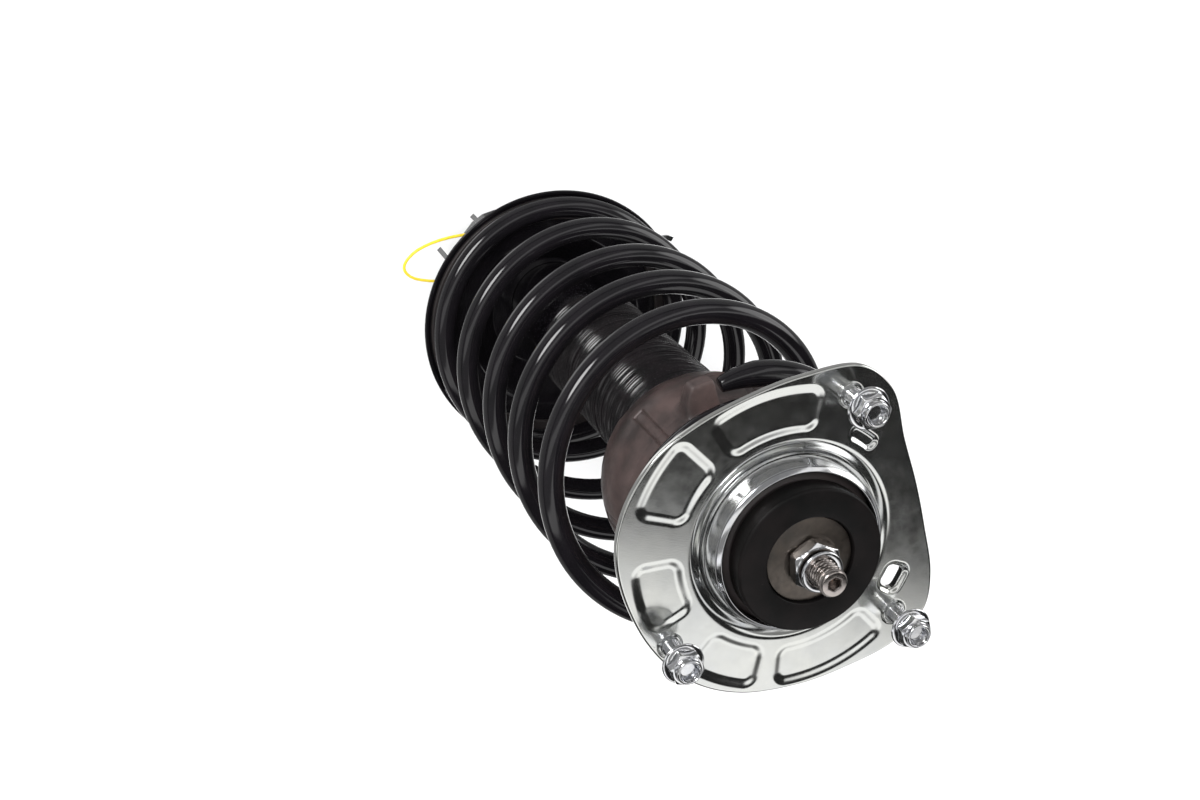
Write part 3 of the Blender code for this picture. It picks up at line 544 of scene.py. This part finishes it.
def build_stud(number, distance, angle):
    """M8 stud: splined neck pressed in the plate, thread above it, flat head below."""
    sides = 72
    turns = np.arange(sides) / sides * TAU
    rows = [(0.0, 19.4), (2.9, 19.4), (3.85, 18.6)]
    for level in np.arange(18.5, 1.6, -0.125):
        share = float(smooth((18.6 - level) / 0.8) * smooth((level - 1.6) / 0.8))
        rows.append((thread(turns, level, M8_R, M8_PITCH, share), level))
    rows += [(3.95, 1.4), (4.15, 0.6), (4.15, -3.1), (6.0, -3.2), (6.4, -3.7), (6.4, -5.4),
             (5.9, -5.9), (0.0, -5.9)]
    mesh = skin(f"stud_{number}_threaded", turned_rows(rows, distance * unit(angle), sides),
                sharp=32.0)
    place(f"stud_{number}_threaded", mesh, "top_mount", "bright_zinc", [f"stud_{number}"])


def build_rod(sides=96):
    """Damper rod: hexagon socket, M12 thread, ground shank and piston spigot."""
    turns = np.arange(sides) / sides * TAU
    socket = hexagon(turns, SOCKET_WIDTH, 20.0)
    rows = [(0.0, 30.2), (socket * 0.98, 31.3), (socket, 31.6), (socket, 38.4),
            (socket + 0.35, 38.9), (4.9, 38.9), (5.2, 38.8), (5.75, 38.1), (5.85, 37.8)]
    for level in np.arange(37.6, 17.4, -0.155):
        share = float(smooth((37.4 - level) / 1.2) * smooth((level - 17.4) / 0.8))
        rows.append((thread(turns, level, M12_R, M12_PITCH, share), level))
    rows += [(6.0, 17.0), (6.0, -24.4), (6.3, -24.7), (9.6, -24.7), (10.0, -25.1),
             (10.0, -265.7), (9.7, -266.0), (6.0, -266.0), (6.0, -293.4), (5.4, -294.0),
             (0.0, -294.0)]
    mesh = skin("piston_rod_threaded", turned_rows(rows, sides=sides), sharp=32.0)
    place("piston_rod_threaded", mesh, "top_mount", "rod_steel", ["piston_rod"])


# ---------------------------------------------------------------- turned pieces
def rest_turned():
    """Turned pieces whose edges are rounded: body, finish, axis, then the section's corners."""
    own = (0.0, 0.0)
    table = {
        "bush_shell": ("top_mount", "bright_zinc", own, [
            (38.8, -21.6, 0.5), (38.8, 1.5, 4.0), (36.6, 8.0, 2.4), (34.6, 9.6, 0.8),
            (34.0, 9.0, 0.4), (34.0, 8.0, 0.4), (35.4, 6.2, 1.6), (36.8, -0.5, 3.0),
            (36.8, -21.6, 0.4)]),
        "rubber_bush": ("top_mount", "dark_rubber", own, [
            (12.4, 6.0, 0.8), (30.0, 6.0, 1.5), (34.2, 3.2, 2.0), (36.1, -0.6, 1.0),
            (36.4, -4.0, 1.0), (36.4, -19.0, 1.5), (30.0, -21.4, 1.5), (12.4, -21.4, 0.8)]),
        "rebound_disc": ("top_mount", "satin_black", own, [
            (6.4, 14.8), (18.9, 14.8, 0.3), (18.9, 18.4, 0.7), (31.3, 18.4, 1.3),
            (31.3, 8.3, 1.0), (6.4, 8.3)]),
        "dished_washer": ("top_mount", "dark_washer", own, [
            (6.4, 17.9), (11.5, 17.9, 3.0), (18.5, 16.7, 0.4), (18.5, 15.1, 0.4), (6.4, 15.1)]),
        "bearing_upper_race": ("top_mount", "black_plastic", own, [
            (28.0, -22.4, 0.5), (44.0, -22.4, 1.0), (45.5, -24.0, 1.0), (45.5, -33.5, 0.6),
            (43.4, -33.5, 0.4), (43.4, -29.3, 0.4), (28.0, -29.3, 0.5)]),
        "bearing_lower_race": ("upper_seat", "black_plastic", own, [
            (28.0, -35.9, 0.5), (41.4, -35.9, 0.6), (42.4, -36.9, 0.5), (42.4, -42.1, 0.5),
            (28.0, -42.1, 0.5)]),
        "bump_stop_cup": ("top_mount", "gloss_black", own, [
            (6.4, -22.4), (21.0, -22.4, 1.4), (21.8, -23.4, 0.8), (21.8, -40.0, 0.5),
            (20.4, -40.0, 0.5), (20.4, -24.4, 1.0), (6.4, -24.4)]),
        "bump_stop": ("top_mount", "bump_foam", own, [
            (10.4, -25.2), (19.9, -25.2, 2.0), (19.9, -46.0, 2.5), (17.0, -50.0, 2.5),
            (19.0, -58.0, 3.0), (16.3, -64.0, 2.5), (18.4, -72.0, 3.0), (15.8, -78.0, 2.5),
            (17.6, -86.0, 3.0), (15.2, -92.0, 2.5), (16.8, -99.0, 3.0), (15.0, -105.5, 2.0),
            (13.4, -109.4, 1.5), (10.4, -109.4)]),
        "lower_rubber_pad": ("strut_tube", "dark_rubber", SPRING_AXIS, [
            (62.0, -311.2, 0.9), (75.0, -311.2, 0.9), (75.0, -314.2, 0.6), (62.0, -314.2, 0.6)]),
        "outer_tube": ("strut_tube", "gloss_black", own, [
            (22.4, -232.4), (25.0, -232.4, 0.8), (25.0, -446.0, 0.5), (22.4, -446.0)]),
        "striker_cap": ("strut_tube", "sintered", own, [
            (10.8, -229.0, 0.4), (25.2, -229.0, 1.2), (26.6, -230.4, 1.2), (26.6, -243.0, 0.4),
            (25.3, -243.0, 0.3), (25.3, -232.0, 0.5), (10.8, -232.0, 0.4)]),
        "bottom_cap": ("strut_tube", "gloss_black", own, [
            (0.0, -446.3), (24.4, -446.3, 0.3), (25.0, -447.0, 0.5), (23.4, -450.6, 2.0),
            (17.0, -452.6, 3.0), (0.0, -453.0)]),
        "seat_weld_collar": ("strut_tube", "weld", own, [
            (25.3, -337.0), (30.0, -337.0, 1.6), (28.4, -346.0, 2.0), (25.3, -346.0)]),
    }
    for name, (body, look, axis, corners) in table.items():
        place(name + "_turned", lathe(name + "_turned", corners, axis), body, look, [name])
    ring = lathe("rod_nut_lock_ring", [(6.1, 27.9, 0.3), (7.6, 27.9, 0.3), (7.6, 26.4, 0.2),
                                       (6.1, 26.4, 0.2)])
    place("rod_nut_lock_ring", ring, "top_mount", "lock_ring")


def bore_radius(axis, bore, sides):
    """Distance from an off-centre axis to a bore about the rod axis, in each direction."""
    turns = np.arange(sides) / sides * TAU
    along = axis[0] * np.cos(turns) + axis[1] * np.sin(turns)
    return -along + np.sqrt(along ** 2 - axis[0] ** 2 - axis[1] ** 2 + bore ** 2)


def build_spring_seats(sides=180):
    """Upper pan and lower dish: pressed round the spring's axis, bored round the rod's."""
    pan = filleted([(38.0, -42.4), (57.5, -42.4, 2.0), (60.0, -44.0, 1.2), (60.0, -46.4, 0.5),
                    (58.0, -46.4, 0.5), (56.5, -44.8, 1.2), (38.0, -44.8)], closed=False)
    bore = bore_radius(PAN_AXIS, 23.5, sides)
    rows = [(bore, -42.4), *pan, (bore, -44.8)]
    mesh = skin("upper_pan_pressed", turned_rows(rows, PAN_AXIS, sides), wrap=True)
    place("upper_pan_pressed", mesh, "upper_seat", "gloss_black", ["upper_spring_seat"])
    dish = filleted([(31.0, -334.0), (33.2, -334.0, 2.5), (52.0, -314.5, 3.5),
                     (75.6, -314.5, 1.2), (76.8, -312.2, 0.8), (78.6, -311.4, 0.5),
                     (78.9, -312.6, 0.5), (77.9, -314.9, 1.0), (76.6, -317.1, 1.2),
                     (51.2, -317.1, 3.5), (32.2, -336.6, 3.0), (31.0, -336.6)], closed=False)
    bore = bore_radius(SPRING_AXIS, 25.3, sides)
    rows = [(bore, -334.0), *dish, (bore, -336.6)]
    mesh = skin("lower_dish_pressed", turned_rows(rows, SPRING_AXIS, sides), wrap=True)
    place("lower_dish_pressed", mesh, "strut_tube", "gloss_black", ["lower_spring_seat"])


# ---------------------------------------------------------------- rubber dome
DOME_R, DOME_LEVEL = 49.3, -75.0
NECK_R = 46.4
FLANGE_R = 58.6
TAB_SIDE, TAB_SPACING, TAB_HALF, TAB_TOP = 64.5, 60.0, 2.4, -79.0
GROOVE_DEPTH, GROOVE_HALF = 1.10, 0.42
BEAD_LEVEL = -93.0
STOP_R = 58.8


def build_dome(sides=480):
    """Rubber spring seat: set-off flange, bulb with six moulded tabs, coil end stop, flash."""
    turns = np.arange(sides) / sides * TAU
    degrees = np.degrees(turns)
    shift = np.array(PAN_AXIS) - np.array(SPRING_AXIS)
    along = shift[0] * np.cos(turns) + shift[1] * np.sin(turns)
    flange_r = along + np.sqrt(along ** 2 - shift @ shift + FLANGE_R ** 2)
    rows = [(30.0, -45.1), (flange_r - 2.8, -45.1), (flange_r - 2.0, -46.7),
            (flange_r - 0.4, -46.7), (flange_r, -47.1), (flange_r, -48.9),
            (flange_r - 0.4, -49.4), (flange_r - 1.4, -49.6)]
    rows += [(NECK_R + (flange_r - 1.4 - NECK_R) * share, -49.6 - 0.5 * (1.0 - share))
             for share in (0.7, 0.4, 0.15)]
    levels = np.concatenate([np.linspace(-50.6, -66.0, 45), np.linspace(-66.3, -107.3, 100)])
    turn = np.mod(degrees - TAB_SIDE + TAB_SPACING / 2.0, TAB_SPACING) - TAB_SPACING / 2.0
    away = np.abs(turn) * math.radians(DOME_R)
    rng = np.random.default_rng(7)
    waves = sum(rng.uniform(0.1, 0.35) * np.cos(k * turns + rng.uniform(0, TAU))
                for k in range(9, 31, 3))
    stop_side = smooth((degrees - 28.0) / 2.4) * smooth((50.0 - degrees) / 11.0)
    flash_side = smooth((degrees - 4.0) / 6.0) * smooth((30.0 - degrees) / 8.0)
    for z in levels:
        base = max(NECK_R if z > -58.0 else 0.0,
                   math.sqrt(DOME_R ** 2 - (z - DOME_LEVEL) ** 2))
        r = np.full(sides, base)
        gap = np.maximum(away - TAB_HALF, TAB_TOP - z)
        r = r - GROOVE_DEPTH * np.exp(-(gap / GROOVE_HALF) ** 2) - 0.30 * smooth(0.5 - gap)
        r = r + 0.30 * np.exp(-((z - BEAD_LEVEL) / 1.2) ** 2)
        r = r + 0.45 * waves * smooth((-88.0 - z) / 14.0)
        flash = -74.0 - 7.0 * np.sin((degrees - 4.0) / 26.0 * math.pi)
        r = r + 1.3 * flash_side * np.exp(-((z - flash) / 0.9) ** 2)
        stop = smooth((-50.4 - z) / 2.6) * smooth((z + 65.5) / 6.0)
        rows.append((np.maximum(r, r + (STOP_R - r) * stop * stop_side), z))
    for z, radius in ((-108.2, 34.9), (-108.8, 34.4), (-109.0, 33.8)):
        rows.append((radius + 0.4 * waves, z))
    rows += [(27.9, -109.0), (27.4, -108.6), (27.4, -105.0), (27.8, -104.2), (30.0, -102.0)]
    mesh = skin("upper_rubber_seat_moulded", turned_rows(rows, SPRING_AXIS, sides), wrap=True,
                sharp=60.0)
    place("upper_rubber_seat_moulded", mesh, "upper_seat", "rubber", ["upper_rubber_seat"])


# ---------------------------------------------------------------- bellows
BOOT_TOP, BOOT_END = -109.4, -252.0
BOOT_PITCH = 2.6
BOOT_CUFF = 3.4                             # length of the plain cuff above the first fold
CREST_R = 30.6
BOOT_SHARE = 0.45                           # how far its lower end follows the tube upwards


def build_boot(sides=144, per_fold=7):
    """Fine-pitched bellows, a little uneven from fold to fold."""
    rng = np.random.default_rng(11)
    length = BOOT_TOP - BOOT_CUFF - BOOT_END
    folds = round(length / BOOT_PITCH)
    pitch = length / folds
    turns = np.arange(sides) / sides * TAU
    rows = [(26.7, BOOT_TOP), (33.4, BOOT_TOP), (34.3, BOOT_TOP - 0.6), (34.5, BOOT_TOP - 1.4),
            (33.6, BOOT_TOP - 2.4), (30.6, BOOT_TOP - 3.0)]
    for fold in range(folds):
        depth = rng.uniform(0.9, 1.7)
        crest = CREST_R + rng.uniform(-0.35, 0.3)
        lean = rng.uniform(-0.12, 0.12) * np.cos(turns + rng.uniform(0, TAU))
        for k in range(per_fold):
            phase = k / per_fold
            wave = 0.5 - 0.5 * math.cos(TAU * phase)
            radius = crest - depth * (1.0 - wave ** 0.55) + lean * wave
            rows.append((radius, BOOT_TOP - BOOT_CUFF - (fold + phase) * pitch))
    rows += [(29.6, BOOT_END + 0.4), (29.2, BOOT_END), (28.2, BOOT_END), (27.8, BOOT_END + 0.5),
             (28.2, BOOT_TOP - 4.5), (26.7, BOOT_TOP - 2.5)]
    mesh = skin("dust_boot_bellows", turned_rows(rows, sides=sides), wrap=True, sharp=70.0)
    boot = place("dust_boot_bellows", mesh, None, "boot_black", ["dust_boot"])
    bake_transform(boot, "upper_seat", "strut_tube", (0, 0, BOOT_TOP * MM), (0, 0, BOOT_END * MM))
    height = np.array([v.co.z for v in boot.data.vertices]) / MM
    down = (BOOT_TOP - height) / (BOOT_TOP - BOOT_END)
    set_follow(boot, BOOT_SHARE * np.clip(down, 0.0, 1.0))


# ---------------------------------------------------------------- coil spring
WIRE_R = 5.9
COIL_R, END_COIL_R = 71.0, 64.0
COIL_SIDE = 62.5                            # direction of the wire where the turn count is 0
END_COIL_START, END_COIL_TURNS = 3.2, 0.55
TAIL_START, TAIL_TURNS, TAIL_DRAW = 3.74, 0.16, 10.0
TAPER_START, TAPER_TURNS, TAPER = 3.855, 0.045, 0.4
# Turn count and height of the wire's centre, from the dish up.
COIL_LEVELS = np.array([
    (-1.80, -305.0), (-1.05, -305.0), (0.0, -249.0), (1.0, -192.7), (2.0, -145.5),
    (3.0, -97.5), (3.64, -55.9), (3.90, -55.9)])


def coil_line(turns):
    """Centre of the wire at each turn count."""
    height = np.zeros_like(turns)
    for shift in np.linspace(-0.09, 0.09, 7):
        spot = np.clip(turns + shift, COIL_LEVELS[0, 0], COIL_LEVELS[-1, 0])
        height += np.interp(spot, COIL_LEVELS[:, 0], COIL_LEVELS[:, 1]) / 7.0
    tail = np.clip((turns - TAIL_START) / TAIL_TURNS, 0.0, 1.0)
    narrowing = smooth((turns - END_COIL_START) / END_COIL_TURNS)
    radius = COIL_R - (COIL_R - END_COIL_R) * narrowing - TAIL_DRAW * tail ** 1.5
    angle = np.radians(COIL_SIDE) + TAU * turns
    return np.stack([SPRING_AXIS[0] + radius * np.cos(angle),
                     SPRING_AXIS[1] + radius * np.sin(angle), height], -1)


def build_spring(around=40, per_turn=110):
    """The wire: a tube along the coil line, thinner at its upper tip, with rounded ends."""
    first, last = COIL_LEVELS[0, 0], COIL_LEVELS[-1, 0]
    turns = np.linspace(first, last, int((last - first) * per_turn))
    line = coil_line(turns)
    ahead = np.gradient(line, axis=0)
    ahead /= np.linalg.norm(ahead, axis=1)[:, None]
    out = line - np.array([*SPRING_AXIS, 0.0])
    out[:, 2] = 0.0
    out -= (out * ahead).sum(1)[:, None] * ahead
    out /= np.linalg.norm(out, axis=1)[:, None]
    up = np.cross(ahead, out)
    spin = np.arange(around) / around * TAU
    ends = ((0.0, 0.0), (WIRE_R - 0.9, 0.0), (WIRE_R - 0.3, 0.25), (WIRE_R, 0.9))
    rows, shares = [], []
    low, high = line[0, 2], line[-1, 2]

    def add(i, radius, shift):
        centre = line[i] + ahead[i] * shift
        radius *= 1.0 - TAPER * max(0.0, float(turns[i]) - TAPER_START) / TAPER_TURNS
        rows.append(centre + radius * (np.cos(spin)[:, None] * out[i]
                                       + np.sin(spin)[:, None] * up[i]))
        shares.append((high - line[i, 2]) / (high - low))

    for radius, shift in ends:
        add(0, radius, shift)
    for i in range(1, len(line) - 1):
        add(i, WIRE_R, 0.0)
    for radius, shift in ends[::-1]:
        add(len(line) - 1, radius, -shift)
    rows = np.array(rows)
    index = np.arange(len(rows) * around).reshape(-1, around)
    faces = quads(index, wrap=False).reshape(-1, 4).tolist()
    mesh = bpy.data.meshes.new("coil_spring_wire")
    mesh.from_pydata((rows.reshape(-1, 3) * MM).tolist(), [], faces)
    layer = mesh.attributes.new("follow", "FLOAT", "POINT")
    layer.data.foreach_set("value", np.repeat(shares, around).astype(np.float32))
    shade(tidy(mesh), 45.0)
    spring = place("coil_spring_wire", mesh, None, "gloss_black", ["coil_spring"])
    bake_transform(spring, "upper_seat", "strut_tube", (0, 0, high * MM), (0, 0, low * MM))
    follow = np.zeros(len(mesh.vertices), np.float32)
    mesh.attributes["follow"].data.foreach_get("value", follow)
    set_follow(spring, follow)
    mesh.attributes.remove(mesh.attributes["follow"])


# ---------------------------------------------------------------- the rest
CAD_LOOKS = {
    "inner_sleeve": "rod_steel", "rebound_stop_ring": "black_plastic",
    "rebound_valve_disc": "rod_steel", "piston": "sintered", "piston_ring": "ptfe",
    "compression_valve_disc": "rod_steel", "piston_nut": "rod_steel", "ball_cage": "ball_steel",
    "oil_seal": "rubber", "rod_guide": "sintered", "guide_bush": "ptfe",
    "pressure_tube": "rod_steel", "base_valve_disc": "rod_steel", "base_valve_body": "sintered",
    "knuckle_bracket": "gloss_black", "link_bracket": "gloss_black",
    "hose_bracket": "bright_zinc", "seal_tie": "yellow_tie"}


def dress_cad_nodes():
    """Give every CAD node still shown its finish, and soften the edges of the brackets."""
    for name, look in CAD_LOOKS.items():
        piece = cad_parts[name]
        piece.data.materials.clear()
        piece.data.materials.append(FINISH[look])
        if name.endswith("_bracket"):
            weld = piece.modifiers.new("weld", "WELD")
            weld.merge_threshold = 1e-5
            bevel = piece.modifiers.new("edge", "BEVEL")
            bevel.width = 0.6 * MM
            bevel.segments = 3
            bevel.angle_limit = math.radians(40.0)


# ---------------------------------------------------------------- stage
CAMERA_SPOT = (0.17207, 0.33124, 0.49560)
CAMERA_RIGHT = (0.33598, -0.88628, 0.31878)
CAMERA_AHEAD = (-0.23806, -0.40738, -0.88169)
SENSOR, LENS = 36.0, 45.218
FLOOR_HALF = 8.0
# Panels of light on a dark dome. Each has its strength and the limits of its area: along a
# direction, the light rises from nothing to full between the two values.
DIAGONAL, AGAINST = (1.0, 0.9, 0.0), (-1.0, -0.9, 0.0)
UP, DOWN = (0.0, 0.0, 1.0), (0.0, 0.0, -1.0)
PANELS = {
    "card": (1.15, [((-1.0, -0.2, 0.0), 0.37, 0.45), ((1.0, 0.0, 0.0), -0.72, -0.60),
                    (UP, 0.25, 0.40), ((0.0, -1.0, 0.0), 0.05, 0.25),
                    ((0.0, 1.0, 0.0), -0.90, -0.75)]),
    "strip": (1.0, [(DIAGONAL, -0.32, -0.24), (AGAINST, 0.02, 0.10), (UP, 0.30, 0.45)]),
    "wide": (0.22, [(DIAGONAL, -0.32, -0.24), (UP, 0.10, 0.30)]),
    "second": (0.75, [(DIAGONAL, 0.34, 0.42), (AGAINST, -0.75, -0.66), (UP, 0.30, 0.45)]),
    "kicker": (11.0, [((0.393, 0.793, 0.465), 0.974, 0.988)]),
    "side": (2.2, [((0.66, -0.72, 0.22), 0.93, 0.97)]),
    "horizon": (0.30, [(DOWN, -0.10, 0.04)]),
    "edge": (0.75, [((0.195, 0.43, -0.882), 0.955, 0.985)]),
    "glow": (1.4, [((-0.238, -0.407, -0.882), 0.86, 0.98)]),
}
DOME_LIGHT = 0.02
LAMPS = {"key": ((0.75, 1.25, 2.3), 80.0, 2.0), "top": ((0.45, 0.8, 3.2), 80.0, 3.2)}


def camera():
    right = Vector(CAMERA_RIGHT).normalized()
    ahead = Vector(CAMERA_AHEAD).normalized()
    up = right.cross(ahead).normalized()
    data = bpy.data.cameras.new("camera")
    data.sensor_width = SENSOR
    data.lens = LENS
    data.clip_end = 50.0
    item = bpy.data.objects.new("camera", data)
    bpy.context.scene.collection.objects.link(item)
    turn = Matrix((right, up, -ahead)).transposed().to_4x4()
    item.matrix_world = Matrix.Translation(CAMERA_SPOT) @ turn
    bpy.context.scene.camera = item


def build_floor():
    """Pale floor at the foot of the strut, which glossy surfaces don't mirror."""
    half = FLOOR_HALF
    mesh = bpy.data.meshes.new("floor")
    mesh.from_pydata([(-half, -half, 0), (half, -half, 0), (half, half, 0), (-half, half, 0)],
                     [], [(0, 1, 2, 3)])
    floor = bpy.data.objects.new("floor", mesh)
    floor.location.z = CAD_LOW.z
    bpy.context.scene.collection.objects.link(floor)
    mesh.materials.append(finish("floor_white", (0.90, 0.90, 0.90), (0.88, 0.885, 0.89), 0.0,
                                 (0.30, 0.40), 3.0, (40.0, 0.05, 0.05)))
    floor.visible_glossy = False


def combine(tree, operation, *values):
    """Chain of math nodes over sockets and plain numbers."""
    total = values[0]
    for value in values[1:]:
        made = node(tree, "ShaderNodeMath", operation=operation)
        for socket, part in zip(made.inputs, (total, value)):
            if isinstance(part, float):
                socket.default_value = part
            else:
                tree.links.new(part, socket)
        total = made.outputs[0]
    return total


def build_world():
    """Dark dome with the panels of light that the bright metal and the gloss paint mirror."""
    world = bpy.data.worlds.new("studio")
    bpy.context.scene.world = world
    world.use_nodes = True
    tree = world.node_tree
    coords = node(tree, "ShaderNodeTexCoord").outputs["Generated"]
    split = node(tree, "ShaderNodeSeparateXYZ")
    tree.links.new(coords, split.inputs[0])

    def band(direction, low, high):
        """0 to 1 as the view's share along the direction goes from low to high."""
        parts = [combine(tree, "MULTIPLY", socket, weight)
                 for socket, weight in zip(split.outputs, direction)]
        made = node(tree, "ShaderNodeMapRange", interpolation_type="SMOOTHSTEP",
                    **{"From Min": low, "From Max": high})
        tree.links.new(combine(tree, "ADD", *parts), made.inputs["Value"])
        return made.outputs["Result"]

    lit = [combine(tree, "MULTIPLY", *[band(*limits) for limits in area], strength)
           for strength, area in PANELS.values()]
    background = tree.nodes["Background"]
    tree.links.new(combine(tree, "ADD", *lit, DOME_LIGHT), background.inputs["Strength"])
    background.inputs["Color"].default_value = (1.0, 1.0, 1.0, 1.0)


def studio():
    """Floor, dome and two area lamps that stay out of the gloss."""
    build_floor()
    build_world()
    for name, (spot, power, side) in LAMPS.items():
        light = bpy.data.lights.new(name, "AREA")
        light.shape = "SQUARE"
        light.size = side
        light.energy = power
        lamp = bpy.data.objects.new(name, light)
        lamp.location = spot
        lamp.rotation_mode = "QUATERNION"
        lamp.rotation_quaternion = (-Vector(spot)).to_track_quat("-Z", "Y")
        lamp.visible_glossy = False
        bpy.context.scene.collection.objects.link(lamp)
    bpy.context.scene.view_settings.view_transform = "Standard"


build_plate()
for number, (distance, angle, corner) in enumerate(STUDS, start=1):
    build_stud(number, distance, angle)
    build_nut(f"stud_nut_{number}_plated", f"stud_nut_{number}", tuple(distance * unit(angle)),
              corner, **STUD_NUT)
build_nut("rod_nut_plated", "rod_nut", (0.0, 0.0), 25.0, **ROD_NUT)
build_rod()
rest_turned()
build_spring_seats()
build_dome()
build_boot()
build_spring()
dress_cad_nodes()
camera()
studio()
